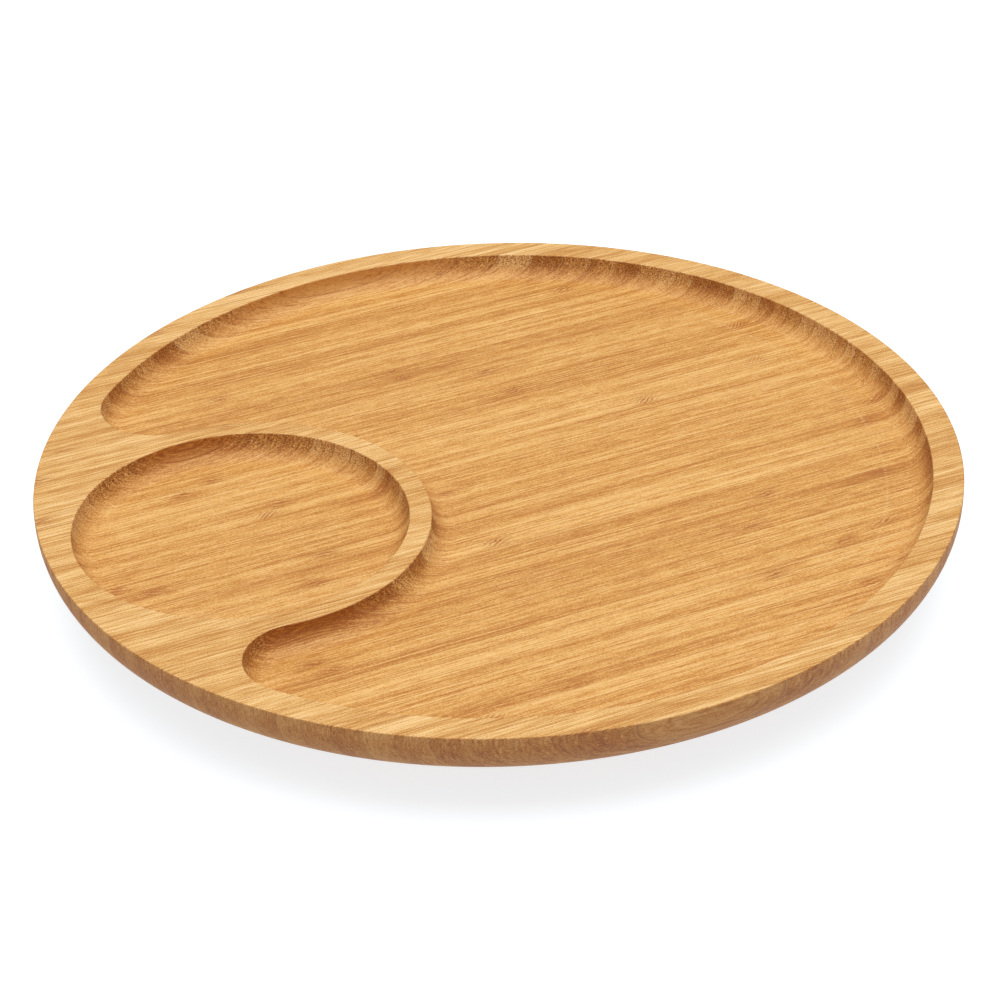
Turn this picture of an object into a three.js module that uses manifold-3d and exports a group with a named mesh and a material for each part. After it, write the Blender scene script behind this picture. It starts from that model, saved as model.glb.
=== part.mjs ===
// Lazy susan turntable: a routed bamboo serving board that spins on a pressed-steel ball
// bearing, over a bamboo base disc with rubber feet.
// Millimetres, +Z up. The origin lies on the spin axis, on the surface the feet stand on.

import * as THREE from 'three';
import { mergeVertices } from 'three/addons/utils/BufferGeometryUtils.js';
import Module from 'manifold-3d';

const wasm = await Module();
wasm.setup();

// ---------------------------------------------------------------- driving dimensions

// Serving board
const BOARD_DIAMETER = 350;
const BOARD_THICKNESS = 18;
const BOARD_EDGE_BAND = 3; // upright band below the top edge
const BOARD_UNDERCUT = 11; // how far the side is drawn in below that band
const BOARD_TOP_ROUND = 0.5;

// Recesses routed into the board
const RECESS_DEPTH = 9;
const COVE_RADIUS = 8; // hollow round where a wall meets the floor
const RIM_WIDTH = 11.5; // land outside the large recess
const DISH_DIAMETER = 124.2;
const DISH_RIM_WIDTH = 10.1; // land outside the round dish
const DISH_AZIMUTH = -157.8; // degrees from +X
const DIVIDER_WIDTH = 8.3; // land between the dish and the large recess
const FRONT_HORN_RADIUS = 20; // round end of the large recess, in front of the dish
const BACK_HORN_RADIUS = 23.5; // and behind it

// Base disc and feet
const BASE_DIAMETER = 200;
const BASE_THICKNESS = 9;
const BASE_EDGE_ROUND = 2.5;
const FOOT_DIAMETER = 14;
const FOOT_STAND = 3; // gap that the feet leave under the base disc
const FOOT_SOCKET_DEPTH = 1;
const FOOT_EDGE_ROUND = 1.2;
const FOOT_INSET = 14; // from the base disc's edge to a foot's centre
const FOOT_COUNT = 4;
const ACCESS_HOLE_DIAMETER = 12; // lets a screwdriver reach the upper screws

// Swivel bearing: two drawn square plates, caged balls and a hollow centre rivet
const PLATE_SIDE = 101.6;
const PLATE_CORNER_RADIUS = 8;
const PLATE_THICKNESS = 1;
const SCREW_HOLE_INSET = 6.35; // from a plate's edges to its corner holes
const RACE_INSET = 14.8; // from a plate's flat sides to the circle of ball centres
const RACE_LAND = 2; // flat crest outside the ball groove
const SHOULDER_WIDTH = 2.5; // sloping step from the crest down to the flange
const CREST_GAP = 1; // from a crest to the plane through the ball centres
const GROOVE_STANDOFF = 0.37; // from the back of a groove to the wood it faces
const BALL_DIAMETER = 4.76;
const BALL_COUNT = 16;
const CAGE_WIDTH = 12;
const CAGE_THICKNESS = 1.2;
const RIVET_BORE = 16;
const RIVET_WALL = 1;
const RIVET_FLANGE = 4; // how far its rolled ends reach over the plates

// Pan-head wood screws
const SCREW_DIAMETER = 3.5;
const SCREW_SKIN = 2; // wood left beyond a screw's point
const SCREW_TIP = 3;
const SCREW_HEAD_DIAMETER = 7;
const SCREW_HEAD_HEIGHT = 2;
const SCREW_HEAD_RIM = 0.7; // upright edge below the head's dome

// Clearances
const SEAT_GAP = 0.1; // between faces that rest on each other
const FIT_GAP = 0.3; // round a shank in its hole and a foot in its socket
const BALL_GAP = 0.25; // round a ball in its groove and pocket

// Facets
const FACET_SAGITTA = 0.12; // furthest a facet strays from a true curve
const ROUND_SEGMENTS = 96; // the two wooden discs
const BEARING_SEGMENTS = 40;
const SMALL_SEGMENTS = 12; // screws, feet and their holes
const JOIN_LAP = 1; // how far the drawn middle of a plate laps its flange
const CUT_OVERRUN = 1; // how far a cutter runs past the face it opens

// ---------------------------------------------------------------- levels and radii

const BOARD_RADIUS = BOARD_DIAMETER / 2;
const DISH_RADIUS = DISH_DIAMETER / 2;
const BALL_RADIUS = BALL_DIAMETER / 2;
const RACE_RADIUS = PLATE_SIDE / 2 - RACE_INSET;
const GROOVE_RADIUS = BALL_RADIUS + BALL_GAP;
const CREST_EDGE = RACE_RADIUS + Math.sqrt(GROOVE_RADIUS ** 2 - CREST_GAP ** 2) + RACE_LAND;
const FLANGE_EDGE = CREST_EDGE + SHOULDER_WIDTH;
const BEARING_HEIGHT = 2 * (GROOVE_RADIUS + PLATE_THICKNESS + GROOVE_STANDOFF);

const BASE_BOTTOM = FOOT_STAND;
const BASE_TOP = BASE_BOTTOM + BASE_THICKNESS;
const BALL_LEVEL = BASE_TOP + BEARING_HEIGHT / 2;
const BOARD_BOTTOM = BASE_TOP + BEARING_HEIGHT;
const BOARD_TOP = BOARD_BOTTOM + BOARD_THICKNESS;

const UPPER_GRIP = BOARD_THICKNESS - RECESS_DEPTH - SCREW_SKIN;
const LOWER_GRIP = BASE_THICKNESS - SCREW_SKIN;
const PILOT_RADIUS = SCREW_DIAMETER / 2 + FIT_GAP;
const CORNER_HOLE_RADIUS = (PLATE_SIDE / 2 - SCREW_HOLE_INSET) * Math.SQRT2;
const DISH_ANGLE = THREE.MathUtils.degToRad(DISH_AZIMUTH);
const QUARTER_TURN = Math.PI / 2;
const FULL_TURN = 2 * Math.PI;
const LOWER_PLATE_TURN = Math.PI / 4; // its corners point at 45 degrees to the X axis
const UPPER_PLATE_TURN = 0; // its corners point along X and Y

// ---------------------------------------------------------------- materials

const material = (color, roughness, metalness) =>
  new THREE.MeshStandardMaterial({ color, roughness, metalness });

const BAMBOO = 0xe0ac6c;
const BASE_BAMBOO = 0xd6a163;
const ZINC = 0xb9bcbf;
const BALL_STEEL = 0xd7d9dc;
const NYLON = 0xe9e6dc;
const RUBBER = 0x2b2a29;

// ---------------------------------------------------------------- solids

/** Closed solid from a geometry: shared corners merged, triangles without area dropped. */
function toSolid(geometry) {
  const bare = new THREE.BufferGeometry();
  bare.setAttribute('position', geometry.getAttribute('position'));
  bare.setIndex(geometry.getIndex());
  const merged = mergeVertices(bare);
  const corners = Array.from(merged.getIndex().array);
  const triangles = [];
  for (let i = 0; i < corners.length; i += 3) {
    const [a, b, c] = corners.slice(i, i + 3);
    if (a !== b && b !== c && c !== a) {
      triangles.push(a, b, c);
    }
  }
  return new wasm.Manifold(new wasm.Mesh({
    numProp: 3,
    vertProperties: new Float32Array(merged.getAttribute('position').array),
    triVerts: new Uint32Array(triangles),
  }));
}

/** Named, coloured piece from a solid. */
function piece(name, solid, finish) {
  const mesh = solid.getMesh();
  const geometry = new THREE.BufferGeometry();
  geometry.setAttribute('position', new THREE.BufferAttribute(mesh.vertProperties, mesh.numProp));
  geometry.setIndex(new THREE.BufferAttribute(mesh.triVerts, 1));
  geometry.computeVertexNormals();
  const part = new THREE.Mesh(geometry, finish);
  part.name = name;
  return part;
}

/** Points along an arc, within FACET_SAGITTA of the true curve. */
function arcPoints(centreX, centreY, radius, from, to) {
  const step = 2 * Math.acos(1 - FACET_SAGITTA / radius);
  const count = Math.ceil(Math.abs(to - from) / step);
  return Array.from({ length: count + 1 }, (_, i) => {
    const angle = from + ((to - from) * i) / count;
    return new THREE.Vector2(
      centreX + radius * Math.cos(angle),
      centreY + radius * Math.sin(angle),
    );
  });
}

function circlePoints(centreX, centreY, radius) {
  return arcPoints(centreX, centreY, radius, 0, FULL_TURN).slice(0, -1);
}

/** Turned geometry about +Z from profile points (radius, height), listed bottom to top. */
function turned(profile, segments) {
  return new THREE.LatheGeometry(profile, segments).rotateX(QUARTER_TURN);
}

/** Upright round cutter between two heights. */
function roundCutter(radius, x, y, low, high) {
  const cylinder = new THREE.CylinderGeometry(radius, radius, high - low, SMALL_SEGMENTS);
  cylinder.rotateX(QUARTER_TURN);
  cylinder.translate(x, y, (low + high) / 2);
  return toSolid(cylinder);
}

/** Places evenly spaced round the spin axis: [{ x, y }]. */
function ringPlaces(count, radius, firstAngle) {
  return Array.from({ length: count }, (_, i) => {
    const angle = firstAngle + (FULL_TURN * i) / count;
    return { x: radius * Math.cos(angle), y: radius * Math.sin(angle) };
  });
}

const lowerScrewPlaces = ringPlaces(4, CORNER_HOLE_RADIUS, LOWER_PLATE_TURN);
const upperScrewPlaces = ringPlaces(4, CORNER_HOLE_RADIUS, UPPER_PLATE_TURN);
const ballPlaces = ringPlaces(BALL_COUNT, RACE_RADIUS, 0);
const footPlaces = ringPlaces(FOOT_COUNT, BASE_DIAMETER / 2 - FOOT_INSET, LOWER_PLATE_TURN);

// ---------------------------------------------------------------- serving board

/** Centre of the dish: its rim land lies inside the board's edge, along the dish azimuth. */
function dishCentre() {
  const distance = BOARD_RADIUS - DISH_RIM_WIDTH - DISH_RADIUS;
  return {
    distance,
    x: distance * Math.cos(DISH_ANGLE),
    y: distance * Math.sin(DISH_ANGLE),
  };
}

/** Angle of a triangle between the sides next and near, opposite the third side. */
function triangleAngle(near, next, opposite) {
  return Math.acos((near * near + next * next - opposite * opposite) / (2 * near * next));
}

/**
 * One round horn of the large recess. It touches the rim circle from inside and the divider
 * circle from outside, so its centre closes a triangle with the board's and the dish's centres.
 * side is +1 counter-clockwise of the dish and -1 clockwise.
 */
function horn(radius, side) {
  const dish = dishCentre();
  const toBoard = BOARD_RADIUS - RIM_WIDTH - radius;
  const toDish = DISH_RADIUS + DIVIDER_WIDTH + radius;
  const rimAngle = DISH_ANGLE + side * triangleAngle(toBoard, dish.distance, toDish);
  return {
    radius,
    x: toBoard * Math.cos(rimAngle),
    y: toBoard * Math.sin(rimAngle),
    rimAngle,
    dividerAngle: DISH_ANGLE + Math.PI - side * triangleAngle(toDish, dish.distance, toBoard),
  };
}

/** Outline of the large recess: rim arc, back horn, arc round the divider, front horn. */
function largeRecessOutline() {
  const dish = dishCentre();
  const front = horn(FRONT_HORN_RADIUS, 1);
  const back = horn(BACK_HORN_RADIUS, -1);
  const backRimAngle = back.rimAngle + FULL_TURN;
  const frontRimAngle = front.rimAngle + FULL_TURN;
  const arcs = [
    arcPoints(0, 0, BOARD_RADIUS - RIM_WIDTH, front.rimAngle, backRimAngle),
    arcPoints(back.x, back.y, back.radius, backRimAngle, back.dividerAngle + Math.PI),
    arcPoints(dish.x, dish.y, DISH_RADIUS + DIVIDER_WIDTH, back.dividerAngle, front.dividerAngle),
    arcPoints(front.x, front.y, front.radius, front.dividerAngle + Math.PI, frontRimAngle),
  ];
  return arcs.flatMap((points) => points.slice(0, -1));
}

function dishOutline() {
  const dish = dishCentre();
  return circlePoints(dish.x, dish.y, DISH_RADIUS);
}

/** Cutter for a recess: upright walls that end in a cove at the flat floor. */
function recessCutter(outline) {
  const cove = Math.min(COVE_RADIUS, RECESS_DEPTH);
  const cutter = new THREE.ExtrudeGeometry(new THREE.Shape(outline), {
    depth: RECESS_DEPTH - cove + CUT_OVERRUN,
    bevelThickness: cove,
    bevelSize: cove,
    bevelOffset: -cove,
    bevelSegments: 5,
  });
  cutter.translate(0, 0, BOARD_TOP - RECESS_DEPTH + cove);
  return toSolid(cutter);
}

/** Side of the board: flat underside, quarter-ellipse undercut, upright band, eased top edge. */
function boardProfile() {
  const undercutHeight = BOARD_THICKNESS - BOARD_EDGE_BAND;
  const undercut = new THREE.EllipseCurve(
    BOARD_RADIUS - BOARD_UNDERCUT,
    BOARD_BOTTOM + undercutHeight,
    BOARD_UNDERCUT,
    undercutHeight,
    -QUARTER_TURN,
    0,
  );
  const topRound = new THREE.EllipseCurve(
    BOARD_RADIUS - BOARD_TOP_ROUND,
    BOARD_TOP - BOARD_TOP_ROUND,
    BOARD_TOP_ROUND,
    BOARD_TOP_ROUND,
    0,
    QUARTER_TURN,
  );
  return [
    new THREE.Vector2(0, BOARD_BOTTOM),
    ...undercut.getPoints(7),
    ...topRound.getPoints(2),
    new THREE.Vector2(0, BOARD_TOP),
  ];
}

function servingBoard() {
  let board = toSolid(turned(boardProfile(), ROUND_SEGMENTS));
  board = board.subtract(recessCutter(largeRecessOutline()));
  board = board.subtract(recessCutter(dishOutline()));
  const below = BOARD_BOTTOM - CUT_OVERRUN;
  const pilotTop = BOARD_BOTTOM + UPPER_GRIP + FIT_GAP;
  for (const { x, y } of upperScrewPlaces) {
    board = board.subtract(roundCutter(PILOT_RADIUS, x, y, below, pilotTop));
  }
  return piece('serving_board', board, material(BAMBOO, 0.5, 0));
}

// ---------------------------------------------------------------- base disc and feet

function baseProfile() {
  const edge = BASE_DIAMETER / 2 - BASE_EDGE_ROUND;
  const round = BASE_EDGE_ROUND;
  const lower = new THREE.EllipseCurve(edge, BASE_BOTTOM + round, round, round, -QUARTER_TURN, 0);
  const upper = new THREE.EllipseCurve(edge, BASE_TOP - round, round, round, 0, QUARTER_TURN);
  return [
    new THREE.Vector2(0, BASE_BOTTOM),
    ...lower.getPoints(3),
    ...upper.getPoints(3),
    new THREE.Vector2(0, BASE_TOP),
  ];
}

function baseDisc() {
  let disc = toSolid(turned(baseProfile(), ROUND_SEGMENTS));
  const below = BASE_BOTTOM - CUT_OVERRUN;
  const above = BASE_TOP + CUT_OVERRUN;
  const pilotBottom = BASE_TOP - LOWER_GRIP - FIT_GAP;
  for (const { x, y } of lowerScrewPlaces) {
    disc = disc.subtract(roundCutter(PILOT_RADIUS, x, y, pilotBottom, above));
  }
  const socketTop = BASE_BOTTOM + FOOT_SOCKET_DEPTH;
  for (const { x, y } of footPlaces) {
    disc = disc.subtract(roundCutter(FOOT_DIAMETER / 2 + FIT_GAP, x, y, below, socketTop));
  }
  const access = upperScrewPlaces[0];
  disc = disc.subtract(roundCutter(ACCESS_HOLE_DIAMETER / 2, access.x, access.y, below, above));
  return piece('base_disc', disc, material(BASE_BAMBOO, 0.55, 0));
}

/** Rubber foot: a plug in the base's socket, with a rounded edge at the flat face it stands on. */
function foot(name, { x, y }) {
  const radius = FOOT_DIAMETER / 2;
  const edge = new THREE.EllipseCurve(
    radius - FOOT_EDGE_ROUND,
    FOOT_EDGE_ROUND,
    FOOT_EDGE_ROUND,
    FOOT_EDGE_ROUND,
    -QUARTER_TURN,
    0,
  );
  const top = FOOT_STAND + FOOT_SOCKET_DEPTH - SEAT_GAP;
  const profile = [
    new THREE.Vector2(0, 0),
    ...edge.getPoints(3),
    new THREE.Vector2(radius, top),
    new THREE.Vector2(0, top),
  ];
  const body = toSolid(turned(profile, SMALL_SEGMENTS).translate(x, y, 0));
  return piece(name, body, material(RUBBER, 0.85, 0));
}

// ---------------------------------------------------------------- swivel bearing

/**
 * Section of a plate's drawn middle, measured up from its mounting face: flat centre disc, ball
 * groove, crest, sloping shoulder and the start of the flange. Both faces of the groove are arcs
 * about the ball's centre, so the sheet keeps its thickness there.
 */
function drawnDiscProfile() {
  const ballLevel = BEARING_HEIGHT / 2 - SEAT_GAP;
  const innerFace = ballLevel - CREST_GAP;
  const outerFace = innerFace - PLATE_THICKNESS;
  const groove = (radius, face) => {
    const spread = Math.acos((ballLevel - face) / radius);
    const from = -QUARTER_TURN - spread;
    const to = -QUARTER_TURN + spread;
    return new THREE.EllipseCurve(RACE_RADIUS, ballLevel, radius, radius, from, to).getPoints(4);
  };
  const bore = RIVET_BORE / 2 + RIVET_WALL + FIT_GAP;
  const point = (radius, height) => new THREE.Vector2(radius, height);
  return [
    point(bore, outerFace),
    ...groove(GROOVE_RADIUS + PLATE_THICKNESS, outerFace),
    point(CREST_EDGE, outerFace),
    point(FLANGE_EDGE, 0),
    point(FLANGE_EDGE + JOIN_LAP, 0),
    point(FLANGE_EDGE + JOIN_LAP, PLATE_THICKNESS),
    point(FLANGE_EDGE, PLATE_THICKNESS),
    point(CREST_EDGE, innerFace),
    ...groove(GROOVE_RADIUS, innerFace).reverse(),
    point(bore, innerFace),
    point(bore, outerFace),
  ];
}

/** Square flange with round corners along X and Y, and a round opening for the drawn middle. */
function flangeGeometry() {
  const half = PLATE_SIDE / 2 - PLATE_CORNER_RADIUS;
  const outline = [0, 1, 2, 3].flatMap((quarter) => {
    const angle = quarter * QUARTER_TURN;
    const corner = new THREE.Vector2(half, half).rotateAround(new THREE.Vector2(), angle);
    return arcPoints(corner.x, corner.y, PLATE_CORNER_RADIUS, angle, angle + QUARTER_TURN);
  });
  const shape = new THREE.Shape(outline);
  shape.holes.push(new THREE.Path(circlePoints(0, 0, FLANGE_EDGE + JOIN_LAP / 2)));
  const flange = new THREE.ExtrudeGeometry(shape, { depth: PLATE_THICKNESS, bevelEnabled: false });
  return flange.rotateZ(QUARTER_TURN / 2);
}

/** Plate standing on its mounting face at height 0, with its corners along X and Y. */
function swivelPlate() {
  const low = -CUT_OVERRUN;
  const high = PLATE_THICKNESS + CUT_OVERRUN;
  let plate = toSolid(flangeGeometry()).add(toSolid(turned(drawnDiscProfile(), BEARING_SEGMENTS)));
  for (const { x, y } of ringPlaces(4, CORNER_HOLE_RADIUS, 0)) {
    plate = plate.subtract(roundCutter(PILOT_RADIUS, x, y, low, high));
  }
  return plate;
}

function lowerPlate() {
  const plate = piece('bearing_lower_plate', swivelPlate(), material(ZINC, 0.4, 0.9));
  plate.geometry.rotateZ(LOWER_PLATE_TURN);
  plate.geometry.translate(0, 0, BASE_TOP + SEAT_GAP);
  return plate;
}

function upperPlate() {
  const plate = piece('bearing_upper_plate', swivelPlate(), material(ZINC, 0.4, 0.9));
  plate.geometry.rotateX(Math.PI);
  plate.geometry.rotateZ(UPPER_PLATE_TURN);
  plate.geometry.translate(0, 0, BOARD_BOTTOM - SEAT_GAP);
  return plate;
}

/** Flat nylon ring with a round pocket for each ball. */
function ballCage() {
  const ring = new THREE.Shape(circlePoints(0, 0, RACE_RADIUS + CAGE_WIDTH / 2));
  ring.holes.push(new THREE.Path(circlePoints(0, 0, RACE_RADIUS - CAGE_WIDTH / 2)));
  for (const { x, y } of ballPlaces) {
    ring.holes.push(new THREE.Path(circlePoints(x, y, GROOVE_RADIUS)));
  }
  const body = new THREE.ExtrudeGeometry(ring, { depth: CAGE_THICKNESS, bevelEnabled: false });
  body.translate(0, 0, BALL_LEVEL - CAGE_THICKNESS / 2);
  return piece('ball_cage', toSolid(body), material(NYLON, 0.5, 0));
}

function bearingBalls() {
  return ballPlaces.map(({ x, y }, i) => {
    const ball = new THREE.IcosahedronGeometry(BALL_RADIUS, 1).translate(x, y, BALL_LEVEL);
    const name = `bearing_ball_${String(i + 1).padStart(2, '0')}`;
    return piece(name, toSolid(ball), material(BALL_STEEL, 0.15, 1));
  });
}

/** Hollow rivet whose rolled ends hold the two plates together between the wooden discs. */
function centreRivet() {
  const bore = RIVET_BORE / 2;
  const wall = bore + RIVET_WALL;
  const flange = wall + RIVET_FLANGE;
  const halfSpan = CREST_GAP + PLATE_THICKNESS + FIT_GAP;
  const low = BALL_LEVEL - halfSpan - RIVET_WALL;
  const high = BALL_LEVEL + halfSpan + RIVET_WALL;
  const profile = [
    [bore, low],
    [flange, low],
    [flange, low + RIVET_WALL],
    [wall, low + RIVET_WALL],
    [wall, high - RIVET_WALL],
    [flange, high - RIVET_WALL],
    [flange, high],
    [bore, high],
    [bore, low],
  ].map(([radius, height]) => new THREE.Vector2(radius, height));
  const body = toSolid(turned(profile, BEARING_SEGMENTS));
  return piece('center_rivet', body, material(ZINC, 0.35, 0.9));
}

// ---------------------------------------------------------------- screws

/** Pan-head screw with its head seated at height 0 and its point below, gripping the wood. */
function screwGeometry(grip) {
  const shank = SCREW_DIAMETER / 2;
  const head = SCREW_HEAD_DIAMETER / 2;
  const length = grip + PLATE_THICKNESS + SEAT_GAP;
  const dome = new THREE.EllipseCurve(
    0,
    SCREW_HEAD_RIM,
    head,
    SCREW_HEAD_HEIGHT - SCREW_HEAD_RIM,
    0,
    QUARTER_TURN,
  );
  const profile = [
    new THREE.Vector2(0, -length),
    new THREE.Vector2(shank, SCREW_TIP - length),
    new THREE.Vector2(shank, 0),
    new THREE.Vector2(head, 0),
    ...dome.getPoints(4),
  ];
  return turned(profile, SMALL_SEGMENTS);
}

function lowerScrew(name, { x, y }) {
  const seat = BASE_TOP + PLATE_THICKNESS + 2 * SEAT_GAP;
  const body = toSolid(screwGeometry(LOWER_GRIP).translate(x, y, seat));
  return piece(name, body, material(ZINC, 0.3, 0.9));
}

function upperScrew(name, { x, y }) {
  const seat = BOARD_BOTTOM - PLATE_THICKNESS - 2 * SEAT_GAP;
  const body = toSolid(screwGeometry(UPPER_GRIP).rotateX(Math.PI).translate(x, y, seat));
  return piece(name, body, material(ZINC, 0.3, 0.9));
}

// ---------------------------------------------------------------- assembly

const turntable = new THREE.Group();
turntable.add(servingBoard(), baseDisc(), lowerPlate(), upperPlate(), ballCage(), centreRivet());
turntable.add(...bearingBalls());
turntable.add(...lowerScrewPlaces.map((place, i) => lowerScrew(`lower_plate_screw_${i + 1}`, place)));
turntable.add(...upperScrewPlaces.map((place, i) => upperScrew(`upper_plate_screw_${i + 1}`, place)));
turntable.add(...footPlaces.map((place, i) => foot(`foot_${i + 1}`, place)));

export default turntable;
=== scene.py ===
"""Lazy susan turntable: a routed bamboo board on a ball-bearing swivel over a bamboo base disc.

Lengths in the frame are metres. Each piece is a surface worked out with numpy from the frame's
boxes and a few workshop sizes, and each finish is a node material on Object coordinates.
"""
import math

import bpy
import numpy as np
from mathutils import Matrix, Vector


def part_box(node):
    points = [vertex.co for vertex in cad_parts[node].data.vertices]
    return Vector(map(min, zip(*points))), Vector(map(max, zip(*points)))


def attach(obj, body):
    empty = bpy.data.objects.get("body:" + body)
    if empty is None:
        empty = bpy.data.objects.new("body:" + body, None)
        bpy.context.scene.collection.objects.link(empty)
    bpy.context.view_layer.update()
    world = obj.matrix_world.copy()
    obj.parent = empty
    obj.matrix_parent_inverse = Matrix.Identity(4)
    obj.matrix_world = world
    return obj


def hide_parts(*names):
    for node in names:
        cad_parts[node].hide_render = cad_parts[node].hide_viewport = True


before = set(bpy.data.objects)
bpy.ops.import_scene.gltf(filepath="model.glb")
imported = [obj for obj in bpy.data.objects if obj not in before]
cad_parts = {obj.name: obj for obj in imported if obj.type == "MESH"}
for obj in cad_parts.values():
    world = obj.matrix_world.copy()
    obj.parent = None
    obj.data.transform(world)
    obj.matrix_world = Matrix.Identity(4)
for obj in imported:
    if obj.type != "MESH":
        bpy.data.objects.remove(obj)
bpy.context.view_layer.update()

MM = 0.001
TAU = 2 * math.pi


# ------------------------------------------------------------------ sizes from the frame


def span(node):
    """Lowest and highest corner of a CAD node, as arrays."""
    low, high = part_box(node)
    return np.array(low), np.array(high)


board_low, board_high = span("serving_board")
base_low, base_high = span("base_disc")
cage_low, cage_high = span("ball_cage")
ball_low, ball_high = span("bearing_ball_01")
rivet_low, rivet_high = span("center_rivet")
_, upper_plate_high = span("bearing_upper_plate")
lower_plate_low, lower_plate_high = span("bearing_lower_plate")
foot_low, foot_high = span("foot_1")

BOARD_RADIUS = board_high[0]
BOARD_TOP = board_high[2]
BOARD_BOTTOM = board_low[2]
BASE_RADIUS = base_high[0]
BASE_TOP = base_high[2]
BASE_BOTTOM = base_low[2]
BALL_LEVEL = (cage_low[2] + cage_high[2]) / 2
BALL_RADIUS = (ball_high[2] - ball_low[2]) / 2
RACE_RADIUS = (ball_low[0] + ball_high[0]) / 2

# Board, as routed
EDGE_BAND = 3 * MM
UNDERCUT = 11 * MM
TOP_ROUND = 0.5 * MM
RECESS_DEPTH = 9 * MM
COVE = 8 * MM
RIM_WIDTH = 11.5 * MM
DISH_RADIUS = 62.1 * MM
DISH_RIM_WIDTH = 10.1 * MM
DISH_ANGLE = math.radians(-157.8)
DISH_DISTANCE = BOARD_RADIUS - DISH_RIM_WIDTH - DISH_RADIUS
DISH_CENTRE = DISH_DISTANCE * np.array([math.cos(DISH_ANGLE), math.sin(DISH_ANGLE)])
DIVIDER_WIDTH = 8.3 * MM
FRONT_HORN_RADIUS = 20 * MM
BACK_HORN_RADIUS = 23.5 * MM
RECESS_EASE = 0.45 * MM  # sanded round on the recess edges
FLAT_MARGIN = 0.6 * MM  # flat strip beside each round, which keeps the shading of the land flat
GRAIN_ANGLE = math.radians(23.5)

# Base disc, feet and screw holes
BASE_ROUND = 2.5 * MM
ACCESS_HOLE_RADIUS = 6 * MM
HOLE_EASE = 0.4 * MM
FIT_GAP = 0.3 * MM
SOCKET_DEPTH = 1 * MM
FOOT_RADIUS = (foot_high[0] - foot_low[0]) / 2
FOOT_CIRCLE = math.hypot(*(foot_low + foot_high)[:2] / 2)
FOOT_EDGE_ROUND = 1.2 * MM
FOOT_DISH = 0.3 * MM  # hollow in the middle of a foot's sole
FOOT_DISH_SPAN = (0.55, 0.7)  # shares of the sole's radius between which the hollow ends
FOOT_PIP = 1 * MM  # middle of a foot, closed by a fan
SCREW_SKIN = 2 * MM  # wood past a screw's point, of which its hole takes FIT_GAP
PILOT_RADIUS = 2.05 * MM
UNBROKEN_RADIUS = 20 * MM  # middle of the wooden discs, inside every hole
SHADING_MARGIN = 0.25 * MM  # strip beside a bend of the hardware, which keeps its flats flat

# Swivel bearing
PLATE_HALF = lower_plate_high[0]
PLATE_CORNER = 8 * MM
PLATE_THICKNESS = 1 * MM
BLANK_EASE = 0.15 * MM  # rolled edge that blanking leaves
BEND = 0.8 * MM
BORE_EASE = 0.2 * MM
RACE_LAND = 2 * MM
SHOULDER = 2.5 * MM
CREST_GAP = 1 * MM
BALL_REACH = BALL_LEVEL - lower_plate_low[2]
GROOVE_RADIUS = BALL_RADIUS + 0.25 * MM
FLANGE_MARGIN = 1.2 * MM
BALL_COUNT = 16
CAGE_EASE = 0.25 * MM
RIVET_WALL = 1 * MM
RIVET_FLANGE = 4 * MM  # how far the rolled ends reach past the wall
RIVET_BORE = 2 * (rivet_high[0] - RIVET_FLANGE - RIVET_WALL)
RIVET_ROLL = 1.3 * MM  # round from the bore out over each end
RIVET_INNER_ROLL = 0.25 * MM  # corner under each rolled end
RIVET_LIP = 0.45 * MM  # both edges of each rolled end's rim

# Screws
SCREW_CIRCLE = float(np.mean([span("upper_plate_screw_1")[k][0] for k in (0, 1)]))
SCREW_HEAD = 7 * MM
SCREW_HEAD_HEIGHT = 2 * MM
SCREW_HEAD_RIM = 0.7 * MM
SCREW_RADIUS = 1.75 * MM
SCREW_CORE = 1.2 * MM
SCREW_PITCH = 1.4 * MM
SCREW_TIP = 3 * MM
SCREW_EASE = 0.2 * MM
CROSS_WIDTH = 1.15 * MM
CROSS_REACH = 1.9 * MM
CROSS_SLOPE = 0.22 * MM
CROSS_DEPTH = 1.2 * MM
CROSS_TAPER = 0.35  # share of the depth that is lost at the ends
DOME_SPAN = (0.98, 0.02)  # shares of the head's radius between which the dome's rings lie

# Fineness: points round a circle or along a curve
BOARD_SIDES = 480
RIM_POINTS = 361
DIVIDER_POINTS = 161
HORN_POINTS = 49
DISH_SIDES = 240
COVE_POINTS = 17
UNDERCUT_POINTS = 25
BASE_SIDES = 320
MIDDLE_SIDES = 48
HOLE_SIDES = 32
PLATE_SIDES = 160
CAGE_SIDES = 192
RIVET_SIDES = 128
FOOT_SIDES = 72
SCREW_SIDES = 72
DOME_RINGS = 40
THREAD_RINGS = 10  # for each turn of the thread
BALL_SIDES = 40
BALL_RINGS = 22
BALL_CAP = 84  # degrees up to the last ring before a pole
CURVE_POINTS = 13
BEND_POINTS = 7
PLATE_BEND_POINTS = 5
ROUND_POINTS = 9
EDGE_POINTS = 6
ACCESS_POINTS = 5
EASE_POINTS = 4


# ------------------------------------------------------------------ surfaces


def arc(centre, radius, start, end, count):
    """Points centre + radius * (cos t, sin t), with t running evenly from start to end."""
    turn = np.linspace(start, end, count)
    return np.stack([centre[0] + radius * np.cos(turn), centre[1] + radius * np.sin(turn)], 1)


def circle(centre, radius, count):
    """Closed counter-clockwise circle, without its last point repeated."""
    return arc(centre, radius, 0, TAU, count + 1)[:-1]


def at_height(points, height):
    """Plan points lifted to one height."""
    return np.column_stack([points, np.full(len(points), height)])


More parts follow.
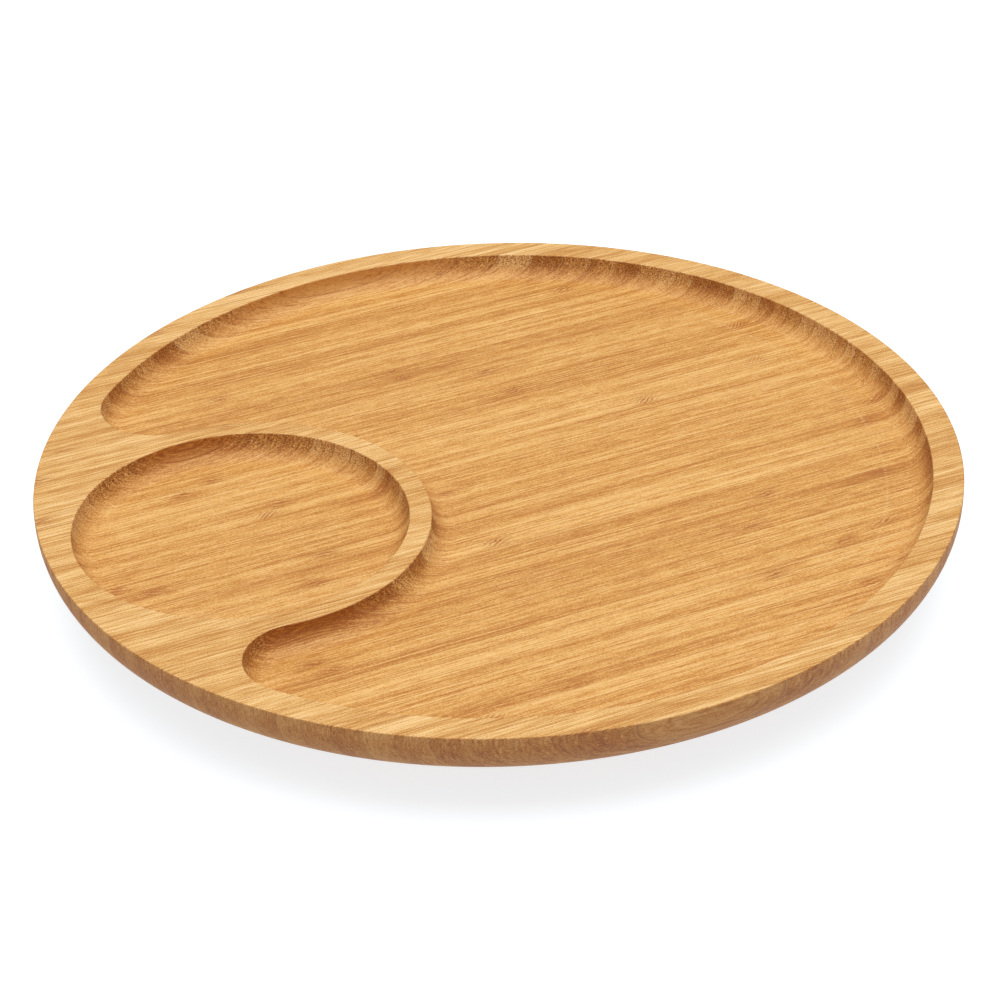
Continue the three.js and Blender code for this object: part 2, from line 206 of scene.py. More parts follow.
class Skin:
    """Points and faces of one mesh, put together from closed loops of points."""

    def __init__(self):
        self.points = []
        self.faces = []
        self.flat = []
        self.count = 0

    def loop(self, points):
        """Adds points and returns their indices."""
        self.points.append(np.asarray(points, float))
        indices = np.arange(self.count, self.count + len(points))
        self.count += len(points)
        return indices

    def band(self, lower, upper):
        """Quads between two loops of equal length; seen from outside, upper lies above lower."""
        quads = np.stack([lower, np.roll(lower, -1), np.roll(upper, -1), upper], 1)
        self.faces += quads.tolist()
        self.flat += [False] * len(quads)

    def tube(self, loops):
        """Bands through a list of loops; returns the loops' indices."""
        rings = [self.loop(points) for points in loops]
        for lower, upper in zip(rings, rings[1:]):
            self.band(lower, upper)
        return rings

    def face(self, indices):
        """One flat face round the given indices."""
        self.faces.append([int(i) for i in indices])
        self.flat.append(True)

    def fan(self, ring, tip):
        """Smooth triangles from a ring, counter-clockwise seen from outside, to one point."""
        wedges = np.stack([ring, np.roll(ring, -1), np.full(len(ring), tip)], 1)
        self.faces += wedges.tolist()
        self.flat += [False] * len(wedges)

    def carry(self, turn, shift):
        """Turns every point so far by a 3 x 3 matrix, then shifts it."""
        self.points = [points @ np.array(turn).T + shift for points in self.points]

    def xy(self, indices):
        """Plan points of a loop."""
        return np.concatenate(self.points)[indices][:, :2]

    def pierced_face(self, inner, outer, rays, holes, centre=(0, 0), facing=1):
        """Flat faces between an inner and an outer loop, cut along rays from the centre.

        Each ray may cross one hole loop. All loops run counter-clockwise, and facing is 1 for a
        face that looks up and -1 for one that looks down.
        """

        def along(loop, ray):
            away = self.xy(loop) - centre
            return away @ np.array([math.cos(ray), math.sin(ray)]), np.hypot(*away.T)

        def crossing(loop, ray):
            reach, distance = along(loop, ray)
            return int(np.argmax(reach / distance))

        def run(loop, start, end):
            steps = (end - start) % len(loop)
            return list(loop[(start + np.arange(steps + 1)) % len(loop)])

        def hole_side(hole, ray, ahead):
            """Hole points from its far to its near side, on the side ahead of the ray or behind."""
            reach, _ = along(hole, ray)
            near, far = int(np.argmin(reach)), int(np.argmax(reach))
            return run(hole, far, near) if ahead else run(hole, near, far)[::-1]

        for i, ray in enumerate(rays):
            following = rays[(i + 1) % len(rays)]
            ring = run(outer, crossing(outer, ray), crossing(outer, following))
            if holes and holes[(i + 1) % len(rays)] is not None:
                ring += hole_side(holes[(i + 1) % len(rays)], following, False)
            ring += run(inner, crossing(inner, ray), crossing(inner, following))[::-1]
            if holes and holes[i] is not None:
                ring += hole_side(holes[i], ray, True)[::-1]
            self.face(ring[::facing])

    def build(self, name):
        """Mesh object at the origin, smooth where the surface is curved."""
        mesh = bpy.data.meshes.new(name)
        mesh.from_pydata(np.concatenate(self.points).tolist(), [], self.faces)
        mesh.polygons.foreach_set("use_smooth", ~np.array(self.flat))
        mesh.update()
        mesh.validate()
        piece = bpy.data.objects.new(name, mesh)
        bpy.context.scene.collection.objects.link(piece)
        return piece


def turned_loops(profile, count, centre=(0, 0)):
    """Loops of a turned surface: each (radius, height) of the profile swept round the axis."""
    return [at_height(circle(centre, radius, count), height) for radius, height in profile]


def quarter(radius_out, radius_up, centre, start, end, count):
    """Profile points on an ellipse about centre, from angle start to end in degrees."""
    turn = np.radians(np.linspace(start, end, count))
    return np.stack([centre[0] + radius_out * np.cos(turn), centre[1] + radius_up * np.sin(turn)], 1)


# ------------------------------------------------------------------ turned sections


def rounded(corners, radii, count):
    """Open polyline with an arc in place of each inner corner, tangent to both of its sides.

    The arc's centre lies on the corner's bisector at radius / sin(half angle), and its points swing
    evenly from one tangent point to the other. A radius of 0 leaves the corner sharp.
    """
    corners = np.asarray(corners, float)
    path = [corners[:1]]
    for before, corner, after, radius in zip(corners, corners[1:], corners[2:], radii):
        if radius == 0:
            path.append(corner[None])
            continue
        back = (before - corner) / np.hypot(*(before - corner))
        ahead = (after - corner) / np.hypot(*(after - corner))
        half = math.acos(back @ ahead) / 2
        centre = corner + (back + ahead) / np.hypot(*(back + ahead)) * radius / math.sin(half)
        start = corner + back * radius / math.tan(half) - centre
        end = corner + ahead * radius / math.tan(half) - centre
        sweep = math.pi - 2 * half
        share = np.linspace(0, 1, count)[:, None]
        arm = np.sin((1 - share) * sweep) * start + np.sin(share * sweep) * end
        path.append(centre + arm / math.sin(sweep))
    return np.concatenate([*path, corners[-1:]])


def keep_flats(profile):
    """Profile with a point set in from both ends of each long side, which keeps the shading flat
    between them."""
    points = [profile[0]]
    for before, after in zip(profile, profile[1:]):
        length = np.hypot(*(after - before))
        if length > 4 * SHADING_MARGIN:
            step = (after - before) * SHADING_MARGIN / length
            points += [before + step, after - step]
        points.append(after)
    return np.array(points)


def pit(skin, profile, count, centre):
    """Turned wall round a hole, facing the hole's axis, from (radius, height) bottom to top."""
    return skin.tube([points[::-1] for points in turned_loops(profile, count, centre)])


def well(skin, centre, radius, mouth, end):
    """Round blind hole with an eased mouth. Gives the loop of its mouth, counter-clockwise."""
    from_above = mouth > end
    inwards = -HOLE_EASE if from_above else HOLE_EASE
    turn = (180, 90) if from_above else (180, 270)
    lip = quarter(HOLE_EASE, HOLE_EASE, (radius + HOLE_EASE, mouth + inwards), *turn, EASE_POINTS)
    profile = [(radius, end), *lip, (radius + 2 * HOLE_EASE, mouth)]
    if from_above:
        rings = pit(skin, profile, HOLE_SIDES, centre)
        skin.face(rings[0][::-1])
        return rings[-1][::-1]
    rings = pit(skin, profile[::-1], HOLE_SIDES, centre)
    skin.face(rings[-1])
    return rings[0][::-1]


def unbroken_middle(skin, height, facing):
    """Round flat face about the axis, inside every hole; facing is 1 up, -1 down. Gives its loop."""
    loop = skin.loop(at_height(circle((0, 0), UNBROKEN_RADIUS, MIDDLE_SIDES), height))
    skin.face(loop[::facing])
    return loop


QUARTER_TURNS = [side * math.pi / 2 for side in range(4)]


def ring_places(radius, first):
    """Four plan points a quarter turn apart on a circle, from a first angle."""
    turns = [first + turn for turn in QUARTER_TURNS]
    return [radius * np.array([math.cos(turn), math.sin(turn)]) for turn in turns]


# ------------------------------------------------------------------ serving board


def triangle_angle(near, following, opposite):
    """Angle between two sides of a triangle, by the law of cosines."""
    return math.acos((near**2 + following**2 - opposite**2) / (2 * near * following))


def horn(radius, side):
    """Round end of the large recess: a circle that touches the rim circle from inside and the
    divider circle from outside. Gives its centre and the angles of its two contacts."""
    to_board = BOARD_RADIUS - RIM_WIDTH - radius
    to_dish = DISH_RADIUS + DIVIDER_WIDTH + radius
    rim_angle = DISH_ANGLE + side * triangle_angle(to_board, DISH_DISTANCE, to_dish)
    divider_angle = DISH_ANGLE + math.pi - side * triangle_angle(to_dish, DISH_DISTANCE, to_board)
    centre = to_board * np.array([math.cos(rim_angle), math.sin(rim_angle)])
    return centre, rim_angle, divider_angle


def large_recess_outline(inset):
    """Outline of the large recess moved inwards by inset: four arcs that meet at tangents, the rim
    arc, the back horn, the arc round the divider and the front horn."""
    front, front_rim, front_divider = horn(FRONT_HORN_RADIUS, 1)
    back, back_rim, back_divider = horn(BACK_HORN_RADIUS, -1)
    rim = BOARD_RADIUS - RIM_WIDTH - inset
    divider = DISH_RADIUS + DIVIDER_WIDTH + inset
    arcs = [
        arc((0, 0), rim, front_rim, back_rim + TAU, RIM_POINTS),
        arc(back, BACK_HORN_RADIUS - inset, back_rim + TAU, back_divider + math.pi, HORN_POINTS),
        arc(DISH_CENTRE, divider, back_divider, front_divider, DIVIDER_POINTS),
        arc(front, FRONT_HORN_RADIUS - inset, front_divider + math.pi, front_rim + TAU, HORN_POINTS),
    ]
    return np.concatenate([points[:-1] for points in arcs])


def dish_outline(inset):
    """Circle of the round dish, moved inwards by inset."""
    return circle(DISH_CENTRE, DISH_RADIUS - inset, DISH_SIDES)


def recess_profile():
    """(inset, height) down a recess wall: flat margin on the land, eased edge, upright wall, cove
    and flat margin on the floor."""
    floor = BOARD_TOP - RECESS_DEPTH
    edge_centre = (-RECESS_EASE, BOARD_TOP - RECESS_EASE)
    edge = quarter(RECESS_EASE, RECESS_EASE, edge_centre, 90, 0, EDGE_POINTS)
    cove = quarter(COVE, COVE, (COVE, floor + COVE), 180, 270, COVE_POINTS)
    margin = (-RECESS_EASE - FLAT_MARGIN, BOARD_TOP)
    return np.concatenate([[margin], edge, cove, [(COVE + FLAT_MARGIN, floor)]])


def board_profile():
    """(radius, height) from the underside to the land: flat margin, quarter-ellipse undercut,
    upright band, eased top edge and flat margin."""
    rise = BOARD_TOP - BOARD_BOTTOM - EDGE_BAND
    foot = BOARD_RADIUS - UNDERCUT
    undercut = quarter(UNDERCUT, rise, (foot, BOARD_BOTTOM + rise), -90, 0, UNDERCUT_POINTS)
    edge_centre = (BOARD_RADIUS - TOP_ROUND, BOARD_TOP - TOP_ROUND)
    edge = quarter(TOP_ROUND, TOP_ROUND, edge_centre, 0, 90, EDGE_POINTS)
    start = (foot - FLAT_MARGIN, BOARD_BOTTOM)
    end = (BOARD_RADIUS - TOP_ROUND - FLAT_MARGIN, BOARD_TOP)
    return np.concatenate([[start], undercut, edge, [end]])


def serving_board():
    """Closed skin of the board: turned side, two recesses let into the land, flat floors, and
    four screw holes from below."""
    skin = Skin()
    side = skin.tube(turned_loops(board_profile(), BOARD_SIDES))
    middle = unbroken_middle(skin, BOARD_BOTTOM, -1)
    pilot_end = BOARD_TOP - RECESS_DEPTH - SCREW_SKIN + FIT_GAP
    places = ring_places(SCREW_CIRCLE, 0)
    pilots = [well(skin, place, PILOT_RADIUS, BOARD_BOTTOM, pilot_end) for place in places]
    skin.pierced_face(middle, side[0], QUARTER_TURNS, pilots, facing=-1)
    recesses = []
    for outline in (large_recess_outline, dish_outline):
        walls = [at_height(outline(inset), height) for inset, height in recess_profile()[::-1]]
        rings = skin.tube([points[::-1] for points in walls])
        skin.face(rings[0][::-1])
        recesses.append(rings[-1][::-1])
    large, dish = recesses
    rays = [DISH_ANGLE, DISH_ANGLE + math.pi]
    skin.pierced_face(large, side[-1], rays, [dish, None])
    return skin.build("serving_board_finish")


# ------------------------------------------------------------------ base disc


def base_disc():
    """Turned disc with round edges: screw holes from above, foot sockets from below, and one hole
    through it that lets a screwdriver reach the upper screws."""
    skin = Skin()
    edge = BASE_RADIUS - BASE_ROUND
    lower = quarter(BASE_ROUND, BASE_ROUND, (edge, BASE_BOTTOM + BASE_ROUND), -90, 0, ROUND_POINTS)
    upper = quarter(BASE_ROUND, BASE_ROUND, (edge, BASE_TOP - BASE_ROUND), 0, 90, ROUND_POINTS)
    margin = edge - FLAT_MARGIN
    profile = [(margin, BASE_BOTTOM), *lower, *upper, (margin, BASE_TOP)]
    side = skin.tube(turned_loops(profile, BASE_SIDES))

    mouth = ACCESS_HOLE_RADIUS + HOLE_EASE
    bottom = quarter(HOLE_EASE, HOLE_EASE, (mouth, BASE_BOTTOM + HOLE_EASE), 270, 180, ACCESS_POINTS)
    top = quarter(HOLE_EASE, HOLE_EASE, (mouth, BASE_TOP - HOLE_EASE), 180, 90, ACCESS_POINTS)
    land = mouth + HOLE_EASE
    access_profile = [(land, BASE_BOTTOM), *bottom, *top, (land, BASE_TOP)]
    access = pit(skin, access_profile, MIDDLE_SIDES, (SCREW_CIRCLE, 0))

    pilot_end = BASE_BOTTOM + SCREW_SKIN - FIT_GAP
    socket_radius = FOOT_RADIUS + FIT_GAP
    socket_end = BASE_BOTTOM + SOCKET_DEPTH
    eighth = math.pi / 4
    pilots = [
        well(skin, place, PILOT_RADIUS, BASE_TOP, pilot_end)
        for place in ring_places(SCREW_CIRCLE, eighth)
    ]
    sockets = [
        well(skin, place, socket_radius, BASE_BOTTOM, socket_end)
        for place in ring_places(FOOT_CIRCLE, eighth)
    ]
    rays = [0, *(eighth + turn for turn in QUARTER_TURNS)]
    for level, rim, holes, facing in (
        (BASE_TOP, side[-1], [access[-1][::-1], *pilots], 1),
        (BASE_BOTTOM, side[0], [access[0][::-1], *sockets], -1),
    ):
        middle = unbroken_middle(skin, level, facing)
        skin.pierced_face(middle, rim, rays, holes, facing=facing)
    return skin.build("base_disc_finish")


# ------------------------------------------------------------------ swivel bearing


def plate_section():
    """(radius, height) over a plate's drawn middle, from the flange's inner face in over shoulder,
    crest and ball groove to the bore, and back below. Both groove faces are arcs about a ball."""
    crest = BALL_REACH - CREST_GAP

    def groove(radius, face):
        spread = math.acos((BALL_REACH - face) / radius)
        middle = -math.pi / 2
        return arc((RACE_RADIUS, BALL_REACH), radius, middle + spread, middle - spread, CURVE_POINTS)

    edge = RACE_RADIUS + math.sqrt(GROOVE_RADIUS**2 - CREST_GAP**2) + RACE_LAND
    flange = edge + SHOULDER
    bore = RIVET_BORE / 2 + RIVET_WALL + FIT_GAP
    below = crest - PLATE_THICKNESS
    margin = flange + FLANGE_MARGIN
    inner = [(margin, PLATE_THICKNESS), (flange, PLATE_THICKNESS), (edge, crest)]
    inner = [*inner, *groove(GROOVE_RADIUS, crest), (bore, crest)]
    outer = [(bore, below), *groove(GROOVE_RADIUS + PLATE_THICKNESS, below)[::-1]]
    outer = [*outer, (edge, below), (flange, 0), (margin, 0)]
    unbent = [0] * CURVE_POINTS
    bends = [BEND, BEND, *unbent, BORE_EASE, BORE_EASE, *unbent, BEND, BEND]
    return rounded([*inner, *outer], bends, PLATE_BEND_POINTS)


def plate_outline(inset):
    """Square with round corners on the X and Y axes, moved inwards by inset."""
    half = PLATE_HALF - PLATE_CORNER
    arcs = []
    eighth = math.pi / 4
    for turn in QUARTER_TURNS:
        centre = half * math.sqrt(2) * np.array([math.cos(turn), math.sin(turn)])
        arcs.append(arc(centre, PLATE_CORNER - inset, turn - eighth, turn + eighth, CURVE_POINTS))
    return np.concatenate(arcs)


def blanked(radius, side):
    """(radius, height) up a plate's cut edge, both ends eased; side is 1 outside, -1 in a hole."""
    ease = BLANK_EASE
    lower = quarter(ease, ease, (-ease, ease), -90, 0, EASE_POINTS)
    upper = quarter(ease, ease, (-ease, PLATE_THICKNESS - ease), 0, 90, EASE_POINTS)
    edge = np.concatenate([lower, upper])
    return np.stack([radius + side * edge[:, 0], edge[:, 1]], 1)


def swivel_plate(name, turn, flip, height):
    """Pressed plate: turned middle, flat flange with a blanked edge and four corner holes."""
    skin = Skin()
    middle = skin.tube(turned_loops(keep_flats(plate_section()), PLATE_SIDES))
    rim = skin.tube([at_height(plate_outline(-out), level) for out, level in blanked(0, 1)])
    hole_edge = blanked(PILOT_RADIUS, -1)
    holes = [pit(skin, hole_edge, HOLE_SIDES, place) for place in ring_places(SCREW_CIRCLE, 0)]
    for level, around, facing in ((-1, middle[0], 1), (0, middle[-1], -1)):
        mouths = [hole[level][::-1] for hole in holes]
        skin.pierced_face(around, rim[level], QUARTER_TURNS, mouths, facing=facing)
    turned = Matrix.Rotation(turn, 3, "Z") @ Matrix.Rotation(math.pi if flip else 0, 3, "X")
    skin.carry(turned, (0, 0, height))
    return skin.build(name)


def ball_cage():
    """Flat moulded ring with eased edges and a round pocket for each ball."""
    skin = Skin()
    low, high = cage_low[2], cage_high[2]
    outer_radius = cage_high[0]
    inner_radius = 2 * RACE_RADIUS - outer_radius

    def eased(radius, side):
        """(radius, height) of an upright wall with eased ends; side is 1 outside, -1 inside."""
        ends = []
        for level, first, last in ((low + CAGE_EASE, -90, 0), (high - CAGE_EASE, 0, 90)):
            turn = quarter(CAGE_EASE, CAGE_EASE, (0, level), first, last, EASE_POINTS)
            ends.append(np.stack([radius + side * (turn[:, 0] - CAGE_EASE), turn[:, 1]], 1))
        return np.concatenate(ends)

    outside = skin.tube(turned_loops(eased(outer_radius, 1), CAGE_SIDES))
    inside = pit(skin, eased(inner_radius, -1), CAGE_SIDES, (0, 0))
    rays = [TAU * k / BALL_COUNT for k in range(BALL_COUNT)]
    places = [RACE_RADIUS * np.array([math.cos(ray), math.sin(ray)]) for ray in rays]
    pockets = [pit(skin, eased(GROOVE_RADIUS, -1), HOLE_SIDES, place) for place in places]
    for level, facing in ((-1, 1), (0, -1)):
        mouths = [pocket[level][::-1] for pocket in pockets]
        skin.pierced_face(inside[level][::-1], outside[level], rays, mouths, facing=facing)
    return skin.build("ball_cage_finish")


def bearing_ball(number):
    """Sphere about the ball's place: (cos t cos u, cos t sin u, sin t) times its radius."""
    low, high = span(f"bearing_ball_{number:02d}")
    centre = (low + high) / 2
    rise = np.radians(np.linspace(-BALL_CAP, BALL_CAP, BALL_RINGS))
    profile = np.stack([BALL_RADIUS * np.cos(rise), centre[2] + BALL_RADIUS * np.sin(rise)], 1)
    skin = Skin()
    rings = skin.tube(turned_loops(profile, BALL_SIDES, centre[:2]))
    for ring, pole in ((rings[0][::-1], -1), (rings[-1], 1)):
        tip = skin.loop([(centre[0], centre[1], centre[2] + pole * BALL_RADIUS)])
        skin.fan(ring, tip[0])
    return skin.build(f"bearing_ball_{number:02d}_finish")


def centre_rivet():
    """Hollow rivet: a tube whose ends are rolled out over the plates, turned about the axis."""
    bore = RIVET_BORE / 2
    wall = bore + RIVET_WALL
    flange = rivet_high[0]
    low, high = rivet_low[2], rivet_high[2]
    corners = [
        (bore, BALL_LEVEL),
        (bore, low),
        (flange, low),
        (flange, low + RIVET_WALL),
        (wall, low + RIVET_WALL),
        (wall, high - RIVET_WALL),
        (flange, high - RIVET_WALL),
        (flange, high),
        (bore, high),
        (bore, BALL_LEVEL),
    ]
    end_bends = [RIVET_ROLL, RIVET_LIP, RIVET_LIP, RIVET_INNER_ROLL]
    section = keep_flats(rounded(corners, end_bends + end_bends[::-1], BEND_POINTS))[:-1]
    skin = Skin()
    rings = skin.tube(turned_loops(section, RIVET_SIDES))
    skin.band(rings[-1], rings[0])
    return skin.build("center_rivet_finish")


# ------------------------------------------------------------------ screws and feet


def cross_recess(x, y):
    """Depth of a screw's cross recess at plan points: two crossed bars with sloping walls, each
    falling off over CROSS_SLOPE at its sides and twice that at its ends, and shallower there."""

    def bar(along, across):
        side = np.clip((CROSS_WIDTH / 2 - np.abs(across)) / CROSS_SLOPE, 0, 1)
        end = np.clip((CROSS_REACH - np.abs(along)) / (2 * CROSS_SLOPE), 0, 1)
        return np.minimum(side, end)

    shape = np.maximum(bar(x, y), bar(y, x))
    return CROSS_DEPTH * shape * (1 - CROSS_TAPER * np.hypot(x, y) / CROSS_REACH)


def screw_head_loops():
    """Head from its seat up: upright rim, then the dome, a quarter ellipse less the cross recess."""
    head = SCREW_HEAD / 2
    rim = [(head - SCREW_EASE, 0), (head, SCREW_EASE), (head, SCREW_HEAD_RIM)]
    loops = turned_loops(rim, SCREW_SIDES)
    for share in np.linspace(*DOME_SPAN, DOME_RINGS):
        ring = circle((0, 0), head * share, SCREW_SIDES)
        dome = (SCREW_HEAD_HEIGHT - SCREW_HEAD_RIM) * math.sqrt(1 - share**2)
        loops.append(np.column_stack([ring, SCREW_HEAD_RIM + dome - cross_recess(*ring.T)]))
    return loops


def thread_loops(length):
    """Threaded shank from its point up to its seat. The radius is greatest where height / pitch
    less the turn is a whole number. It narrows evenly over the tip, and the thread runs out into a
    plain neck over the last pitch."""
    turn = np.arange(SCREW_SIDES) / SCREW_SIDES
    loops = []
    for level in np.linspace(-length, 0, int(length / SCREW_PITCH * THREAD_RINGS))[1:]:
        wave = np.cos(TAU * (level / SCREW_PITCH - turn)) * 0.5 + 0.5
        root = (SCREW_RADIUS - SCREW_CORE) * (1 - wave**4) * min(1.0, -level / SCREW_PITCH)
        radius = (SCREW_RADIUS - root) * min(1.0, (level + length) / SCREW_TIP)
        plan = np.stack([radius * np.cos(TAU * turn), radius * np.sin(TAU * turn)], 1)
        loops.append(at_height(plan, level))
    return loops


def screw(node, head_up):
    """Pan-head wood screw with a cross recess, its head looking up or down."""
    low, high = span(node)
    centre = (low + high) / 2
    length = high[2] - low[2] - SCREW_HEAD_HEIGHT
    seat = high[2] - SCREW_HEAD_HEIGHT if head_up else low[2] + SCREW_HEAD_HEIGHT
    skin = Skin()
    rings = skin.tube(thread_loops(length) + screw_head_loops())
    skin.fan(rings[0][::-1], skin.loop([(0, 0, -length)])[0])
    skin.fan(rings[-1], skin.loop([(0, 0, SCREW_HEAD_HEIGHT - CROSS_DEPTH)])[0])
    turn = Matrix.Rotation(0 if head_up else math.pi, 3, "X")
    skin.carry(turn, (centre[0], centre[1], seat))
    return skin.build(f"{node}_finish")


def rubber_foot(node):
    """Turned rubber plug: shallow dished sole, round lower edge, upright side."""
    low, high = span(node)
    centre = (low + high) / 2
    radius = (high[0] - low[0]) / 2
    bottom, top = low[2], high[2]
    dish_inner, dish_outer = (share * (radius - FOOT_EDGE_ROUND) for share in FOOT_DISH_SPAN)
    corners = [
        (FOOT_PIP, bottom + FOOT_DISH),
        (dish_inner, bottom + FOOT_DISH),
        (dish_outer, bottom),
        (radius, bottom),
        (radius, top),
        (FOOT_PIP, top),
    ]
    bends = [FOOT_DISH, FOOT_DISH, FOOT_EDGE_ROUND, FOOT_DISH]
    profile = keep_flats(rounded(corners, bends, BEND_POINTS))
    skin = Skin()
    rings = skin.tube(turned_loops(profile, FOOT_SIDES, centre[:2]))
    skin.fan(rings[0][::-1], skin.loop([(centre[0], centre[1], bottom + FOOT_DISH)])[0])
    skin.fan(rings[-1], skin.loop([(centre[0], centre[1], top)])[0])
    return skin.build(f"{node}_finish")


# ------------------------------------------------------------------ shader expressions


class Shade:
    """A shader socket. Arithmetic on it adds Math nodes to its material."""

    def __init__(self, finish, socket):
        self.finish = finish
        self.socket = socket

    def math(self, operation, *others):
        """Math node on this value and others, which may be numbers."""
        sockets = dict(enumerate((self, *others)))
        return self.finish.node("ShaderNodeMath", {"operation": operation}, sockets)

    def __add__(self, other):
        return self.math("ADD", other)

    def __sub__(self, other):
        return self.math("SUBTRACT", other)

    def __mul__(self, other):
        return self.math("MULTIPLY", other)

    def __truediv__(self, other):
        return self.math("DIVIDE", other)

    def __radd__(self, other):
        return self.math("ADD", other)

    def __rmul__(self, other):
        return self.math("MULTIPLY", other)

    def __rsub__(self, other):
        return self.finish.node("ShaderNodeMath", {"operation": "SUBTRACT"}, {0: other, 1: self})

    def __neg__(self):
        return self * -1.0

    def floor(self):
        return self.math("FLOOR")

    def fract(self):
        return self.math("FRACT")

    def sin(self):
        return self.math("SINE")

    def sqrt(self):
        return self.math("SQRT")

    def greatest(self, other):
        return self.math("MAXIMUM", other)

    def bell(self, width):
        """exp(-(self / width) squared): 1 at zero, fading out over width."""
        scaled = self / width
        return (-(scaled * scaled)).math("EXPONENT")

    def step(self, low, high):
        """Smooth step from 0 at low to 1 at high."""
        settings = {"interpolation_type": "SMOOTHSTEP"}
        sockets = {"Value": self, "From Min": low, "From Max": high}
        return self.finish.node("ShaderNodeMapRange", settings, sockets)


class Finish:
    """A node material with one Principled surface."""

    def __init__(self, name, **surface):
        self.material = bpy.data.materials.new(name)
        self.material.use_nodes = True
        self.tree = self.material.node_tree
        self.surface = self.tree.nodes["Principled BSDF"]
        self.set(**surface)

    def node(self, kind, settings=None, sockets=None, output=0):
        """Adds a node: settings first, then socket values or links. Gives one of its outputs."""
        made = self.tree.nodes.new(kind)
        for key, value in (settings or {}).items():
            setattr(made, key, value)
        for key, value in (sockets or {}).items():
            self.plug(made.inputs[key], value)
        return Shade(self, made.outputs[output])

    def plug(self, socket, value):
        if isinstance(value, Shade):
            self.tree.links.new(value.socket, socket)
        else:
            socket.default_value = value

    def set(self, **surface):
        """Sockets of the surface, such as base_color or roughness."""
        for key, value in surface.items():
            self.plug(self.surface.inputs[key.replace("_", " ").title()], value)

    def place(self, turn=(0, 0, 0), shift=(0, 0, 0)):
        """Object coordinates in millimetres, turned and shifted, as three values."""
        coordinates = self.node("ShaderNodeTexCoord", output="Object")
        sockets = {"Vector": coordinates, "Scale": (1 / MM,) * 3, "Rotation": turn, "Location": shift}
        mapped = self.node("ShaderNodeMapping", {"vector_type": "POINT"}, sockets)
        return self.split(mapped)

    def split(self, vector):
        parts = self.node("ShaderNodeSeparateXYZ", None, {0: vector}).socket.node
        return tuple(Shade(self, parts.outputs[k]) for k in range(3))

    def vector(self, x, y, z):
        return self.node("ShaderNodeCombineXYZ", None, {0: x, 1: y, 2: z})

    def noise(self, x, y, z, detail=2.0, roughness=0.5):
        """Noise about 0.5 at the given scaled coordinates."""
        sockets = {"Vector": self.vector(x, y, z), "Scale": 1.0, "Detail": detail, "Roughness": roughness}
        return self.node("ShaderNodeTexNoise", None, sockets)

    def chance(self, x, y):
        """Three random values for a pair of whole numbers."""
        sockets = {"Vector": self.vector(x, y, 0.0)}
        colour = self.node("ShaderNodeTexWhiteNoise", {"noise_dimensions": "2D"}, sockets, "Color")
        return self.split(colour)

    def mix(self, share, first, second, blend="MIX"):
        """Colour from first to second by share. The node has an A, B and Result for each kind of
        value, so those of colours are named by number."""
        settings = {"data_type": "RGBA", "blend_type": blend}
        made = self.node("ShaderNodeMix", settings, {0: share}).socket.node
        self.plug(made.inputs[6], first)
        self.plug(made.inputs[7], second)
        return Shade(self, made.outputs[2])

    def bump(self, height, distance, strength=1.0):
        """Bump from a height of 0 to 1, standing distance metres proud."""
        sockets = {"Height": height, "Distance": distance, "Strength": strength}
        self.set(normal=self.node("ShaderNodeBump", None, sockets))


def rgb(red, green, blue):
    """Linear colour from display values of 0 to 255."""
    levels = np.array([red, green, blue]) / 255
    linear = np.where(levels <= 0.04045, levels / 12.92, ((levels + 0.055) / 1.055) ** 2.4)
    return (*linear.tolist(), 1.0)


WHITE = rgb(255, 255, 255)


# ------------------------------------------------------------------ bamboo


LAND = BOARD_TOP / MM  # the board's top face, in millimetres as all sizes of the texture are
STRIP = 6.4  # width of one glued bamboo strip
JOINT = 0.03  # share of a strip over which a glue line fades
NODE_SPACING = 300  # from one culm node to the next along a strip
NODE_CORE = 4.6  # length over which a culm node fades
NODE_HALO = 15.0  # length over which the darker wood round it fades
PASS_RADIUS = 147  # out to a faint line between two passes of the router
DARK_FIBRES = rgb(184, 119, 48)
MIDDLE_FIBRES = rgb(221, 166, 87)
LIGHT_FIBRES = rgb(245, 205, 142)
GLUE_BROWN = rgb(153, 90, 37)
END_GRAIN = rgb(176, 140, 108)
HOLLOW_TINT = rgb(250, 240, 218)  # below the land the wood is a little yellower
NODE_BROWN = rgb(176, 106, 44)
SHADE_BROWN = rgb(216, 172, 94)  # painted shade on upright and downward faces, partly a burnish on the recess walls
